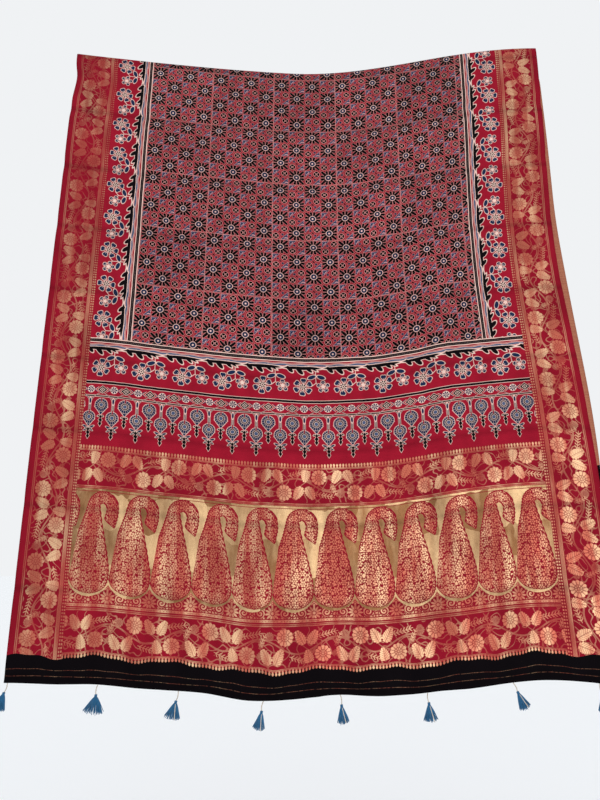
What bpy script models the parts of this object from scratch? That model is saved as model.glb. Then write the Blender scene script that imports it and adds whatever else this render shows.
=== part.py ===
"""Ajrakh cloth hung by its folded-over top, with a row of sewn-on tassels along each end.

Metres, +Z up, +X to the right of someone facing the front, which looks along -Y.
The origin is the top of the fold at the middle of the width.
"across" is measured on the cloth from its left edge, and "drop" down either layer from the fold line.
"""

import math

import bmesh
import bpy
from mathutils import Matrix, Vector

# The cloth as it is cut
WIDTH = 1.000
THICKNESS = 0.0018
FRONT_DROP_LEFT = 1.249  # the fold runs a little askew, so the two edges drop differently
FRONT_DROP_RIGHT = 1.270
BACK_DROP_LEFT = 0.967
BACK_DROP_RIGHT = 0.946

# How it hangs
FOLD_RADIUS = 0.008  # of the middle of the cloth where it turns over the top
RISE_LEFT = 0.054  # how far the held corners stand above the middle of the fold
RISE_RIGHT = 0.069
LEFT_SAG_POWER = 1.35  # 2 would be a parabola; less is straighter towards the corner
RIGHT_SAG_POWER = 1.9  # of a quarter sine, which levels off at the corner
SPREAD = 0.012  # how much further each layer stands from the middle plane, per metre of drop
HEM_LIFT = 0.038  # slack that the wide middle of the front takes up by the time it reaches the hem
HEM_WAVES = (
    {"across": 0.150, "spread": 0.050, "height": 0.004},
    {"across": 0.385, "spread": 0.050, "height": -0.006},
    {"across": 0.535, "spread": 0.060, "height": 0.009},
)  # the hem's own unevenness: where it is drawn up, or down where negative
SIDE_DRIFT = 0.010  # the front hem hangs this far to the right of the fold
BACK_SHIFT = 0.008  # the back layer hangs this far to the right of the front one
SHIFT_DROP = 0.080  # the drop by which it has done so
BACK_FLARE = 0.027  # and it drifts this much further lower down, as the fold is askew
FLARE_STARTS = 0.350
FLARE_SPAN = 0.550
HOLLOW = 0.020  # how far the front's right edge is drawn in at the middle of its height
HOLLOW_DROP = 0.470
HOLLOW_SPREAD = 0.260
HOLLOW_REACH = 0.250  # how far in from the edge it is felt
PINCH = 0.006  # how far the front's left edge is drawn in below its held corner
PINCH_DROP = 0.060
PINCH_SPREAD = 0.045
PINCH_REACH = 0.100  # how far in from the edge it is felt

# Creases left across the front by folding the cloth away in short lengths
STORE_FOLD_LENGTH = 0.138
CREASE_SPREAD = 0.016
CREASE_DEPTHS = (0.0035, 0.0025, 0.0020)  # of the first creases below the fold on the front
CREASE_DEPTH_REST = 0.0010

# Soft vertical folds, which stand out towards the viewer of their own layer where height is positive.
# across: the middle of the fold. spread: its half width. starts: the drop at which it begins to show.
FRONT_FOLDS = (
    {"across": 0.020, "spread": 0.055, "height": -0.005, "starts": 0.10},
    {"across": 0.150, "spread": 0.050, "height": 0.006, "starts": 0.45},
    {"across": 0.330, "spread": 0.050, "height": -0.005, "starts": 0.55},
    {"across": 0.440, "spread": 0.045, "height": 0.006, "starts": 0.60},
    {"across": 0.640, "spread": 0.045, "height": -0.006, "starts": 0.35},
    {"across": 0.755, "spread": 0.040, "height": 0.008, "starts": 0.30},
    {"across": 0.870, "spread": 0.045, "height": -0.005, "starts": 0.40},
    {"across": 0.985, "spread": 0.040, "height": 0.006, "starts": 0.10},
)
BACK_FOLDS = (
    {"across": 0.060, "spread": 0.060, "height": 0.007, "starts": 0.05},
    {"across": 0.230, "spread": 0.050, "height": -0.004, "starts": 0.30},
    {"across": 0.400, "spread": 0.055, "height": 0.008, "starts": 0.25},
    {"across": 0.600, "spread": 0.050, "height": -0.004, "starts": 0.30},
    {"across": 0.740, "spread": 0.055, "height": 0.008, "starts": 0.20},
    {"across": 0.985, "spread": 0.050, "height": 0.006, "starts": 0.15},
)
FOLD_GROWTH = 0.30  # the drop over which a vertical fold grows to its height

# Mesh divisions
COLUMNS = 28
ROWS_PER_STORE_FOLD = 4
FOLD_SEGMENTS = 6

# Tassels. lean turns a tassel about its stitch, towards +X where positive; fan widens its skirt.
FRONT_TASSELS = (
    {"across": 0.006, "lean": -16, "fan": 1.1},
    {"across": 0.154, "lean": -6, "fan": 1.5},
    {"across": 0.281, "lean": -12, "fan": 1.2},
    {"across": 0.417, "lean": -10, "fan": 0.9},
    {"across": 0.539, "lean": 6, "fan": 0.9},
    {"across": 0.678, "lean": 5, "fan": 1.1},
    {"across": 0.815, "lean": 24, "fan": 0.9},
    {"across": 0.951, "lean": 10, "fan": 1.2},
)
BACK_TASSELS = (
    {"across": 0.010, "lean": -8, "fan": 1.1},
    {"across": 0.150, "lean": 7, "fan": 0.9},
    {"across": 0.285, "lean": -10, "fan": 1.3},
    {"across": 0.425, "lean": 4, "fan": 1.0},
    {"across": 0.565, "lean": -6, "fan": 1.2},
    {"across": 0.700, "lean": 12, "fan": 0.9},
    {"across": 0.840, "lean": 6, "fan": 1.1},
    {"across": 0.975, "lean": 9, "fan": 1.0},
)
CORD_LENGTH = 0.014
CORD_RADIUS = 0.0010
NECK_LENGTH = 0.004
NECK_RADIUS = 0.0024
SKIRT_LENGTH = 0.026
SKIRT_RADIUS = 0.0115
SKIRT_DEPTH = 0.45  # how deep a skirt is beside its width
TASSEL_SIDES = 8
STITCH_GAP = 0.0005  # between the hem and the top of a tassel's cord


def mix(low, high, share):
    return low + (high - low) * share


def bell(distance, spread):
    return math.exp(-((distance / spread) ** 2))


def ease(value):
    """Goes smoothly from 0 to 1 as value does."""
    value = min(max(value, 0.0), 1.0)
    return value * value * (3 - 2 * value)


def middle_share(across):
    """1 at the middle of the width and 0 at both edges."""
    return 1 - (2 * across / WIDTH - 1) ** 2


def fold_line(across):
    """Height of the top fold, which sags between its held corners."""
    side = 2 * across / WIDTH - 1
    if side < 0:
        return RISE_LEFT * (-side) ** LEFT_SAG_POWER
    return RISE_RIGHT * math.sin(math.pi / 2 * side) ** RIGHT_SAG_POWER


def folds_at(folds, across, drop):
    return sum(
        fold["height"]
        * bell(across - fold["across"], fold["spread"])
        * ease((drop - fold["starts"]) / FOLD_GROWTH)
        for fold in folds
    )


def creases_at(across, drop):
    """How far the front layer is pressed in at the creases of its storing."""
    number = round(drop / STORE_FOLD_LENGTH)
    if number < 1:
        return 0.0
    depth = CREASE_DEPTHS[number - 1] if number <= len(CREASE_DEPTHS) else CREASE_DEPTH_REST
    return depth * bell(drop - number * STORE_FOLD_LENGTH, CREASE_SPREAD)


def front_point(across, drop):
    along = drop / FRONT_DROP_LEFT
    pinch = PINCH * bell(drop - PINCH_DROP, PINCH_SPREAD) * bell(across, PINCH_REACH) * ease(drop / PINCH_DROP)
    hollow = HOLLOW * bell(drop - HOLLOW_DROP, HOLLOW_SPREAD) * bell(WIDTH - across, HOLLOW_REACH)
    x = across - WIDTH / 2 + SIDE_DRIFT * along**2 + pinch - hollow * ease(drop / SHIFT_DROP)
    stand = FOLD_RADIUS + SPREAD * drop + folds_at(FRONT_FOLDS, across, drop) - creases_at(across, drop)
    waves = sum(wave["height"] * bell(across - wave["across"], wave["spread"]) for wave in HEM_WAVES)
    z = fold_line(across) - drop + HEM_LIFT * middle_share(across) * along**2 + waves * along**4
    return Vector((x, -stand, z))


def back_point(across, drop):
    shift = BACK_SHIFT * ease(drop / SHIFT_DROP) + BACK_FLARE * ease((drop - FLARE_STARTS) / FLARE_SPAN)
    stand = FOLD_RADIUS + SPREAD * drop + folds_at(BACK_FOLDS, across, drop)
    return Vector((across - WIDTH / 2 + shift, stand, fold_line(across) - drop))


def turn_point(across, share):
    """On the half round over the top: share 0 is where the front begins and 1 where the back does."""
    angle = math.pi * share
    height = fold_line(across) + FOLD_RADIUS * math.sin(angle)
    return Vector((across - WIDTH / 2, -FOLD_RADIUS * math.cos(angle), height))


def row_points(across):
    """The middle of the cloth from the front hem over the fold to the back hem, at one place across."""
    share = across / WIDTH
    top = FOLD_RADIUS + THICKNESS / 2
    step = STORE_FOLD_LENGTH / ROWS_PER_STORE_FOLD
    front_drop = mix(FRONT_DROP_LEFT, FRONT_DROP_RIGHT, share)
    back_drop = mix(BACK_DROP_LEFT, BACK_DROP_RIGHT, share)
    front_rows = int(FRONT_DROP_LEFT / step)
    back_rows = int(BACK_DROP_RIGHT / step)
    points = [front_point(across, front_drop)]
    points += [front_point(across, row * step) for row in range(front_rows, 0, -1)]
    points += [turn_point(across, row / FOLD_SEGMENTS) for row in range(FOLD_SEGMENTS + 1)]
    points += [back_point(across, row * step) for row in range(1, back_rows + 1)]
    points += [back_point(across, back_drop)]
    return [point - Vector((0, 0, top)) for point in points]


def material(name, colour, roughness, metallic=0.0):
    made = bpy.data.materials.new(name)
    made.use_nodes = True
    shader = made.node_tree.nodes["Principled BSDF"]
    shader.inputs["Base Color"].default_value = (*colour, 1)
    shader.inputs["Roughness"].default_value = roughness
    shader.inputs["Metallic"].default_value = metallic
    return made


def new_object(name, form, finish):
    mesh = bpy.data.meshes.new(name)
    form.to_mesh(mesh)
    form.free()
    mesh.materials.append(finish)
    made = bpy.data.objects.new(name, mesh)
    bpy.context.scene.collection.objects.link(made)
    return made


def make_cloth(finish):
    """One length of cloth, front layer, fold and back layer, thickened evenly about its middle."""
    columns = [row_points(WIDTH * column / COLUMNS) for column in range(COLUMNS + 1)]
    rows = len(columns[0]) - 1
    form = bmesh.new()
    bmesh.ops.create_grid(form, x_segments=COLUMNS, y_segments=rows, size=0.5)
    for vert in form.verts:
        column = round((vert.co.x + 0.5) * COLUMNS)
        row = round((vert.co.y + 0.5) * rows)
        vert.co = columns[column][row]
    cloth = new_object("cloth", form, finish)
    cloth.data.shade_smooth()
    wall = cloth.modifiers.new("Thickness", "SOLIDIFY")
    wall.thickness = THICKNESS
    wall.offset = 0
    return cloth


def make_tassel(name, stitch, tassel, finish):
    """A cord, its knot and a fanned skirt of threads, turned as one round body and flattened."""
    knot = CORD_LENGTH + NECK_LENGTH
    skirt_radius = SKIRT_RADIUS * tassel["fan"]
    profile = (
        (0, 0),
        (CORD_RADIUS, 0),
        (CORD_RADIUS, CORD_LENGTH),
        (NECK_RADIUS, CORD_LENGTH + NECK_RADIUS / 2),
        (NECK_RADIUS, knot),
        (skirt_radius, knot + SKIRT_LENGTH),
        (0, knot + SKIRT_LENGTH),
    )
    form = bmesh.new()
    corners = [form.verts.new((radius, 0, -down)) for radius, down in profile]
    outline = [form.edges.new(pair) for pair in zip(corners, corners[1:])]
    bmesh.ops.spin(
        form,
        geom=corners + outline,
        cent=(0, 0, 0),
        axis=(0, 0, 1),
        angle=2 * math.pi,
        steps=TASSEL_SIDES,
        use_merge=True,
    )
    bmesh.ops.remove_doubles(form, verts=form.verts, dist=1e-6)
    bmesh.ops.dissolve_degenerate(form, edges=form.edges, dist=1e-6)
    for vert in form.verts:
        if -vert.co.z > knot:
            vert.co.y *= SKIRT_DEPTH
    lean = Matrix.Rotation(math.radians(-tassel["lean"]), 4, "Y")
    place = Matrix.Translation(stitch - Vector((0, 0, STITCH_GAP)))
    bmesh.ops.transform(form, matrix=place @ lean, verts=form.verts)
    bmesh.ops.recalc_face_normals(form, faces=form.faces)
    return new_object(name, form, finish)


def hem_point(across, row):
    return row_points(across)[row]


def main():
    for old in list(bpy.data.objects):
        bpy.data.objects.remove(old, do_unlink=True)
    printed_cotton = material("Madder cotton", (0.33, 0.012, 0.033), 0.75)
    tassel_thread = material("Blue thread", (0.023, 0.144, 0.296), 0.8)
    make_cloth(printed_cotton)
    for end, row, tassels in (("front", 0, FRONT_TASSELS), ("back", -1, BACK_TASSELS)):
        for number, tassel in enumerate(tassels, start=1):
            stitch = hem_point(tassel["across"], row)
            make_tassel(f"tassel_{end}_{number}", stitch, tassel, tassel_thread)


main()
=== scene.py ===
"""Looks of an ajrakh cloth hung by its folded-over top: block print, gold brocade and small tassels.

Metres, +Z up, +X to the right of someone facing the front, which looks along -Y.
"across" is measured on the cloth from its left edge, "drop" down either layer from the fold line, and
"along" over the whole cloth from its front hem to its back hem. Patterns are drawn in millimetres.
"""

import math

import bmesh
import bpy
from mathutils import Matrix, Vector, noise


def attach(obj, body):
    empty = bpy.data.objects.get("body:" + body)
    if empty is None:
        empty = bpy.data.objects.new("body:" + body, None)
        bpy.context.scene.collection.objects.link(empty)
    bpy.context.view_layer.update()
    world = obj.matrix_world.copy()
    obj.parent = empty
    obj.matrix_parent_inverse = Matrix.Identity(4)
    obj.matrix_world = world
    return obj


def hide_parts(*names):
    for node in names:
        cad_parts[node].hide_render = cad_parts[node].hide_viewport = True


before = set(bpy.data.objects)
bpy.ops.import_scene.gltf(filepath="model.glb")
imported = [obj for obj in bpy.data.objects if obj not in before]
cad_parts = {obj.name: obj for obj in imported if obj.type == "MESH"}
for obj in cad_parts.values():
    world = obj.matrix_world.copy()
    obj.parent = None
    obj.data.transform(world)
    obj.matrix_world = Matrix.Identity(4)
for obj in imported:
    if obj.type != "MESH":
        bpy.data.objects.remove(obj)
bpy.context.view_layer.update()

# ---------------- the cloth's shape, as its solid has it

WIDTH = 1.000
SOLID_THICKNESS = 0.0018
FRONT_DROP_LEFT = 1.249
FRONT_DROP_RIGHT = 1.270
BACK_DROP_LEFT = 0.967
FOLD_RADIUS = 0.008
RISE_LEFT = 0.054
RISE_RIGHT = 0.069
LEFT_SAG_POWER = 1.35
RIGHT_SAG_POWER = 1.9
SPREAD = 0.012
HEM_LIFT = 0.038
HEM_WAVES = (  # across, spread, height
    (0.150, 0.050, 0.004),
    (0.385, 0.050, -0.006),
    (0.535, 0.060, 0.009),
)
SIDE_DRIFT = 0.010
BACK_SHIFT = 0.008
SHIFT_DROP = 0.080
BACK_FLARE = 0.027
FLARE_STARTS = 0.350
FLARE_SPAN = 0.550
HOLLOW = 0.020
HOLLOW_DROP = 0.470
HOLLOW_SPREAD = 0.260
HOLLOW_REACH = 0.250
PINCH = 0.006
PINCH_DROP = 0.060
PINCH_SPREAD = 0.045
PINCH_REACH = 0.100
STORE_FOLD_LENGTH = 0.138
CREASE_SPREAD = 0.016
CREASE_DEPTHS = (0.0035, 0.0025, 0.0020)
CREASE_DEPTH_REST = 0.0010
# Each fold's place across, spread, height and the drop at which it starts
FRONT_FOLDS = (
    (0.020, 0.055, -0.005, 0.10),
    (0.150, 0.050, 0.006, 0.45),
    (0.330, 0.050, -0.005, 0.55),
    (0.440, 0.045, 0.006, 0.60),
    (0.640, 0.045, -0.006, 0.35),
    (0.755, 0.040, 0.008, 0.30),
    (0.870, 0.045, -0.005, 0.40),
    (0.985, 0.040, 0.006, 0.10),
)
BACK_FOLDS = (
    (0.060, 0.060, 0.007, 0.05),
    (0.230, 0.050, -0.004, 0.30),
    (0.400, 0.055, 0.008, 0.25),
    (0.600, 0.050, -0.004, 0.30),
    (0.740, 0.055, 0.008, 0.20),
    (0.985, 0.050, 0.006, 0.15),
)
FOLD_GROWTH = 0.30

# Finer folds and creases than the solid has. Those near the fold line come from its gathered corners.
FINE_FOLDS = (
    (0.507, 0.012, 0.0025, 0.02),
    (0.655, 0.026, 0.0025, 0.00),
    (0.700, 0.012, -0.0020, 0.00),
    (0.745, 0.018, 0.0015, 0.00),
    (0.250, 0.006, -0.0010, 0.20),
    (0.515, 0.006, -0.0018, 0.60),
    (0.750, 0.006, -0.0010, 0.20),
)
RIPPLE = 0.0012  # of the slack cloth between its folds
RIPPLE_SIZE = 0.085
THICKNESS = 0.0008
LENGTH = FRONT_DROP_LEFT + math.pi * FOLD_RADIUS + BACK_DROP_LEFT


def mix(low, high, share):
    return low + (high - low) * share


def bell(distance, spread):
    return math.exp(-((distance / spread) ** 2))


def ease(value):
    """Goes smoothly from 0 to 1 as value does."""
    value = min(max(value, 0.0), 1.0)
    return value * value * (3 - 2 * value)


def middle_share(across):
    """1 in the middle of the width and 0 at both edges."""
    return 1 - (2 * across / WIDTH - 1) ** 2


def fold_line(across):
    """How far the corners lift the line that the cloth is folded along."""
    side = 2 * across / WIDTH - 1
    if side < 0:
        return RISE_LEFT * (-side) ** LEFT_SAG_POWER
    return RISE_RIGHT * math.sin(math.pi / 2 * side) ** RIGHT_SAG_POWER


def folds_at(folds, across, drop):
    return sum(
        height * bell(across - place, spread) * ease((drop - starts) / FOLD_GROWTH)
        for place, spread, height, starts in folds
    )


def creases_at(drop):
    """How deep the cloth is pressed in by the folds of its storing."""
    number = round(drop / STORE_FOLD_LENGTH)
    if number < 1:
        return 0.0
    depth = CREASE_DEPTHS[number - 1] if number <= len(CREASE_DEPTHS) else CREASE_DEPTH_REST
    return depth * bell(drop - number * STORE_FOLD_LENGTH, CREASE_SPREAD)


def ripples_at(across, drop):
    """Slack in the cloth, held still along the fold line and drawn out down the drop."""
    place = Vector((across / RIPPLE_SIZE, drop / (2 * RIPPLE_SIZE), 0.5))
    return RIPPLE * noise.noise(place) * ease(drop / FOLD_GROWTH)


def front_point(across, drop):
    along = drop / FRONT_DROP_LEFT
    pinch = PINCH * bell(drop - PINCH_DROP, PINCH_SPREAD) * bell(across, PINCH_REACH)
    hollow = HOLLOW * bell(drop - HOLLOW_DROP, HOLLOW_SPREAD) * bell(WIDTH - across, HOLLOW_REACH)
    x = across - WIDTH / 2 + SIDE_DRIFT * along**2
    x += pinch * ease(drop / PINCH_DROP) - hollow * ease(drop / SHIFT_DROP)
    stand = FOLD_RADIUS + SPREAD * drop + folds_at(FRONT_FOLDS, across, drop) - creases_at(drop)
    stand += folds_at(FINE_FOLDS, across, drop) + ripples_at(across, drop)
    waves = sum(height * bell(across - place, spread) for place, spread, height in HEM_WAVES)
    z = fold_line(across) - drop + HEM_LIFT * middle_share(across) * along**2 + waves * along**4
    return Vector((x, -stand, z))


def back_point(across, drop):
    shift = BACK_SHIFT * ease(drop / SHIFT_DROP) + BACK_FLARE * ease((drop - FLARE_STARTS) / FLARE_SPAN)
    stand = FOLD_RADIUS + SPREAD * drop + folds_at(BACK_FOLDS, across, drop) + ripples_at(across, drop)
    return Vector((across - WIDTH / 2 + shift, stand, fold_line(across) - drop))


def turn_point(across, share):
    """On the half round over the top: share 0 is where the front begins and 1 where the back does."""
    angle = math.pi * share
    height = fold_line(across) + FOLD_RADIUS * math.sin(angle)
    return Vector((across - WIDTH / 2, -FOLD_RADIUS * math.cos(angle), height))


def cloth_point(across, along):
    """Where a place on the flat cloth hangs."""
    front_drop = mix(FRONT_DROP_LEFT, FRONT_DROP_RIGHT, across / WIDTH)
    past = along - front_drop
    turn = math.pi * FOLD_RADIUS
    if past < 0:
        point = front_point(across, -past)
    elif past < turn:
        point = turn_point(across, past / turn)
    else:
        point = back_point(across, past - turn)
    return point - Vector((0, 0, FOLD_RADIUS + SOLID_THICKNESS / 2))


# ---------------- the cloth's layout when it lies flat

MM = 1000
# From either end
BLACK_END = 0.041
LOWER_BAND_END = 0.121
PAISLEY_END = 0.319
UPPER_BAND_END = 0.397
DROPS_END = 0.5185
END_PRINT_END = 0.603
# From either edge
BORDER_END = 0.091
SIDE_PRINT_END = 0.169

GRID_STEP = 0.008
TURN_STEP = 0.003
WAVER = 0.0032  # of the seam between the brocade and the black end
WAVER_LENGTH = 0.118
WAVER_REACH = 0.022

# The bands across the cloth: where each stops, the line that its pattern is measured from, and 1 where the
# pattern runs in from that line and -1 where it runs out.
END_BANDS = {
    "black_end": (BLACK_END, 0, 1),
    "lower_band": (LOWER_BAND_END, BLACK_END, 1),
    "paisley": (PAISLEY_END, LOWER_BAND_END, 1),
    "upper_band": (UPPER_BAND_END, UPPER_BAND_END, -1),
    "drops": (DROPS_END, DROPS_END, -1),
    "end_print": (END_PRINT_END, END_PRINT_END, -1),
}
SIDE_BANDS = {"border": BORDER_END, "side_print": SIDE_PRINT_END}
BROCADES = ("black_end", "border", "lower_band", "upper_band", "paisley")
REGIONS = (*BROCADES, "drops", "end_print", "side_print", "field")


def region_of(across, along):
    edge = min(across, WIDTH - across)
    from_end = min(along, LENGTH - along)
    band = next((name for name, (limit, _, _) in END_BANDS.items() if from_end < limit), None)
    if edge < BORDER_END and band != "black_end":
        return "border"
    return band or ("side_print" if edge < SIDE_PRINT_END else "field")


def pattern_place(region, end, side, across, along):
    """A region's own coordinates: the first runs along the band, the second across it.

    end is 1 in the front half and -1 in the back half, side is 1 on the left half and -1 on the right:
    the bands are the same at both ends and edges, so they run round the field.
    """
    if region == "field":
        return across - SIDE_PRINT_END, along - END_PRINT_END
    if region in SIDE_BANDS:
        edge = across if side > 0 else WIDTH - across
        return LENGTH - along if side > 0 else along, SIDE_BANDS[region] - edge
    line, way = END_BANDS[region][1:]
    from_end = along if end > 0 else LENGTH - along
    round_end = across if end > 0 else WIDTH - across
    start = BORDER_END if region == "paisley" else 0
    return round_end - start, (from_end - line) * way


def stations(limits, step):
    """Places from the first limit to the last, through every limit, none further apart than step."""
    places = [limits[0]]
    for low, high in zip(limits, limits[1:]):
        count = math.ceil((high - low) / step - 1e-6)
        places += [mix(low, high, number / count) for number in range(1, count + 1)]
    return places


def cloth_stations():
    across_limits = (0, BORDER_END, SIDE_PRINT_END, WIDTH - SIDE_PRINT_END, WIDTH - BORDER_END, WIDTH)
    ends = (0, *(limit for limit, _, _ in END_BANDS.values()))
    turn_start = FRONT_DROP_LEFT
    turn_end = FRONT_DROP_RIGHT + math.pi * FOLD_RADIUS
    front = stations((*ends, turn_start), GRID_STEP)
    turn = stations((turn_start, turn_end), TURN_STEP)
    back = stations((turn_end, *(LENGTH - end for end in reversed(ends))), GRID_STEP)
    return stations(across_limits, GRID_STEP), front + turn[1:] + back[1:]


def waver(across, along):
    """How far the woven lines near an end wander along the cloth."""
    from_end = min(along, LENGTH - along)
    angle = math.pi * across / WAVER_LENGTH
    swing = math.sin(2 * angle) + 0.4 * math.sin(5.3 * angle)
    return WAVER * swing * bell(from_end - BLACK_END, WAVER_REACH)


# ---------------- materials: small tools


class Value:
    """One result in a material. Arithmetic on it adds the Math nodes that work it out."""

    def __init__(self, socket):
        self.socket = socket
        self.tree = socket.id_data


def node(tree, kind, inputs=(), output=0, **settings):
    """Adds a node with its settings, links or sets its inputs, and gives back one of its outputs."""
    made = tree.nodes.new(kind)
    for name, setting in settings.items():
        setattr(made, name, setting)
    pairs = inputs.items() if isinstance(inputs, dict) else enumerate(inputs)
    for place, given in pairs:
        if isinstance(given, Value):
            tree.links.new(given.socket, made.inputs[place])
        else:
            made.inputs[place].default_value = given
    return Value(made.outputs[output])


def math_method(operation):
    def method(self, *others):
        return node(self.tree, "ShaderNodeMath", (self, *others), operation=operation)

    return method


MATH_METHODS = {
    "__add__": "ADD",
    "__radd__": "ADD",
    "__sub__": "SUBTRACT",
    "__mul__": "MULTIPLY",
    "__rmul__": "MULTIPLY",
    "__truediv__": "DIVIDE",
    "scaled": "MULTIPLY_ADD",
    "least": "MINIMUM",
    "most": "MAXIMUM",
    "size": "ABSOLUTE",
    "sign": "SIGN",
    "wrap": "WRAP",
    "pingpong": "PINGPONG",
    "sine": "SINE",
    "angle_over": "ARCTAN2",
}
for method_name, math_operation in MATH_METHODS.items():
    setattr(Value, method_name, math_method(math_operation))

FAR = 1e5  # further than any pattern reaches


def linear(code):
    """An sRGB hex colour as linear RGBA."""
    parts = [int(code[start : start + 2], 16) / 255 for start in (1, 3, 5)]
    return (*(part / 12.92 if part <= 0.04045 else ((part + 0.055) / 1.055) ** 2.4 for part in parts), 1)


def split(point):
    """The first and the second number of a point."""
    x = node(point.tree, "ShaderNodeSeparateXYZ", (point,))
    return x, Value(x.socket.node.outputs[1])


def join(x, y):
    return node(x.tree, "ShaderNodeCombineXYZ", (x, y))


def length(point):
    return node(point.tree, "ShaderNodeVectorMath", (point,), output=1, operation="LENGTH")


def seen_from(point, at=(0, 0), turn=0, size=(1, 1)):
    """The point as measured from a motif's middle, in the motif's own units."""
    settings = (point, (*at, 0), (0, 0, math.radians(turn)), (*size, 1))
    return node(point.tree, "ShaderNodeMapping", settings, vector_type="TEXTURE")


def repeated(point, pitch, start=0.0, line=0.0):
    """The point as measured from the nearest of a row of motifs: one of them stands at start and line."""
    inputs = (seen_from(point, (start, line)), (pitch / 2, FAR, 1), (-pitch / 2, -FAR, -1))
    return node(point.tree, "ShaderNodeVectorMath", inputs, operation="WRAP")


def round_petals(point, count, start=0.0):
    """The point as measured from the nearest of that many spokes: the first number runs out along it."""
    x, y = split(point)
    angle = y.angle_over(x)
    step = math.tau / count
    folded = (angle - math.radians(start)).wrap(step / 2, -step / 2)
    inputs = {"Vector": point, "Angle": folded - angle}
    return node(point.tree, "ShaderNodeVectorRotate", inputs, rotation_type="Z_AXIS")


def beside_spoke(point, count, start=0.0):
    """How far the point is to either side of the nearest of that many spokes."""
    return split(round_petals(point, count, start))[1].size()


def oval(point, at, size, turn=0):
    """How far outside an oval the point is, and negative inside it."""
    small = min(size)
    return length(seen_from(point, at, turn, size)).scaled(small, -small)


def rod(point, at, reach, radius, turn=0, taper=0.0):
    """The same for a round-ended stroke that starts at one place and thins as it goes."""
    x, y = split(seen_from(point, at, turn))
    held = node(x.tree, "ShaderNodeClamp", (x, 0, reach))
    return length(join(x - held, y)) - held.scaled(-taper, radius)


def stripe(value, middle, half):
    """How far outside a stripe of that half width the value is."""
    return (value - middle).size() - half


def cover(distance, soft=0.5):
    """1 inside an edge and 0 outside it, over a width that keeps a printed edge soft."""
    inputs = (distance, -1 / soft, 0.5)
    return node(distance.tree, "ShaderNodeMath", inputs, operation="MULTIPLY_ADD", use_clamp=True)


def layer(below, over, amount):
    return node(amount.tree, "ShaderNodeMixRGB", (amount, below, over))


def inked(colour, *coats):
    """The colour under coats put on in turn: each is an ink, and how far outside its shape the point is."""
    for ink, distance in coats:
        colour = layer(colour, ink, cover(distance))
    return colour


def toned(colour, amount):
    """The colour multiplied by an amount."""
    return node(amount.tree, "ShaderNodeMixRGB", (1.0, colour, amount), blend_type="MULTIPLY")


def grain(point, size, detail=2, roughness=0.5):
    """Noise from 0 to 1 whose lumps have that length and height."""
    inputs = {"Vector": seen_from(point, size=size), "Scale": 1.0, "Detail": detail, "Roughness": roughness}
    return node(point.tree, "ShaderNodeTexNoise", inputs, noise_dimensions="2D")


def wandering(point, reach, size):
    """The point moved about a little, as handwork is."""
    inputs = {"Vector": seen_from(point, size=(size, size)), "Scale": 1.0, "Detail": 1}
    shift = node(point.tree, "ShaderNodeTexNoise", inputs, output=1, noise_dimensions="2D")
    inputs = (shift, (2 * reach, 2 * reach, 0), (-reach, -reach, 0))
    shift = node(point.tree, "ShaderNodeVectorMath", inputs, operation="MULTIPLY_ADD")
    return node(point.tree, "ShaderNodeVectorMath", (point, shift), operation="ADD")


# ---------------- materials: inks and threads

CRIMSON = linear("#97162a")
DEEP_RED = linear("#8c1426")
BLACK = linear("#0d080b")
INDIGO = linear("#1b2a47")
GREY_BLUE = linear("#4c5874")
STEM_GREY = linear("#6f625f")
PALE = linear("#ecc9bb")
PINK = linear("#d99f98")
GOLD = linear("#e9bd94")
ROSE_GOLD = linear("#b96450")
LIGHT_GOLD = linear("#e4bf8f")
BRONZE = linear("#8c6441")
BLACK_COTTON = linear("#0c080b")
LOOSE_RED = linear("#8c3a33")
LOOSE_GOLD = linear("#cc8c66")
SOAKED_RED = linear("#8e3340")
SOAKED_INK = linear("#4b3440")


def new_material(name, roughness, specular=0.3, sheen=0.0, metallic=0.0):
    material = bpy.data.materials.new(name)
    material.use_nodes = True
    shader = material.node_tree.nodes["Principled BSDF"]
    shader.inputs["Roughness"].default_value = roughness
    shader.inputs["Specular IOR Level"].default_value = specular
    shader.inputs["Sheen Weight"].default_value = sheen
    shader.inputs["Metallic"].default_value = metallic
    return material


def read_map(material, name):
    return node(material.node_tree, "ShaderNodeUVMap", output=0, uv_map=name)


def feed(material, **links):
    """Links results to the named inputs of a material's shader."""
    tree = material.node_tree
    shader = tree.nodes["Principled BSDF"]
    for name, value in links.items():
        tree.links.new(value.socket, shader.inputs[name.replace("_", " ")])


def weave(flat, strength, raised=None):
    """Fine uneven threads both ways. The real ones are 0.3 mm apart; here they are 1.2 mm to show."""
    threads = grain(flat, (9.0, 1.2), 1) + grain(flat, (1.2, 9.0), 1)
    height = threads if raised is None else raised.scaled(2.0, threads)
    inputs = {"Strength": strength, "Distance": 0.0004, "Height": height}
    return node(flat.tree, "ShaderNodeBump", inputs)


PRESSED_REACH = 9  # of the shadow to either side of a crease
PRESSED_SHADE = 0.22


def creased(flat):
    """1, and less in the soft lines across the cloth that its storing has pressed, which hold a shadow."""
    away = (split(flat)[1] - FRONT_DROP_LEFT * MM).pingpong(STORE_FOLD_LENGTH * MM / 2)
    return (away / -PRESSED_REACH + 1).most(0).scaled(-PRESSED_SHADE, 1)


def printed(name, draw):
    """Madder-dyed cotton and silk, resist and block printed: matt, soft edged, unevenly inked."""
    material = new_material(name, roughness=0.8, specular=0.04)
    flat = read_map(material, "flat")
    point = wandering(read_map(material, "pattern"), 0.5, 14)
    colour = draw(point)
    uneven = grain(flat, (35, 60), 3).scaled(0.5, 0.75)
    slubs = grain(flat, (14, 1.0), 1).scaled(0.24, 0.88)
    colour = toned(colour, uneven * slubs * creased(flat))
    feed(material, Base_Color=colour, Normal=weave(flat, 0.25))
    return material


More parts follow.
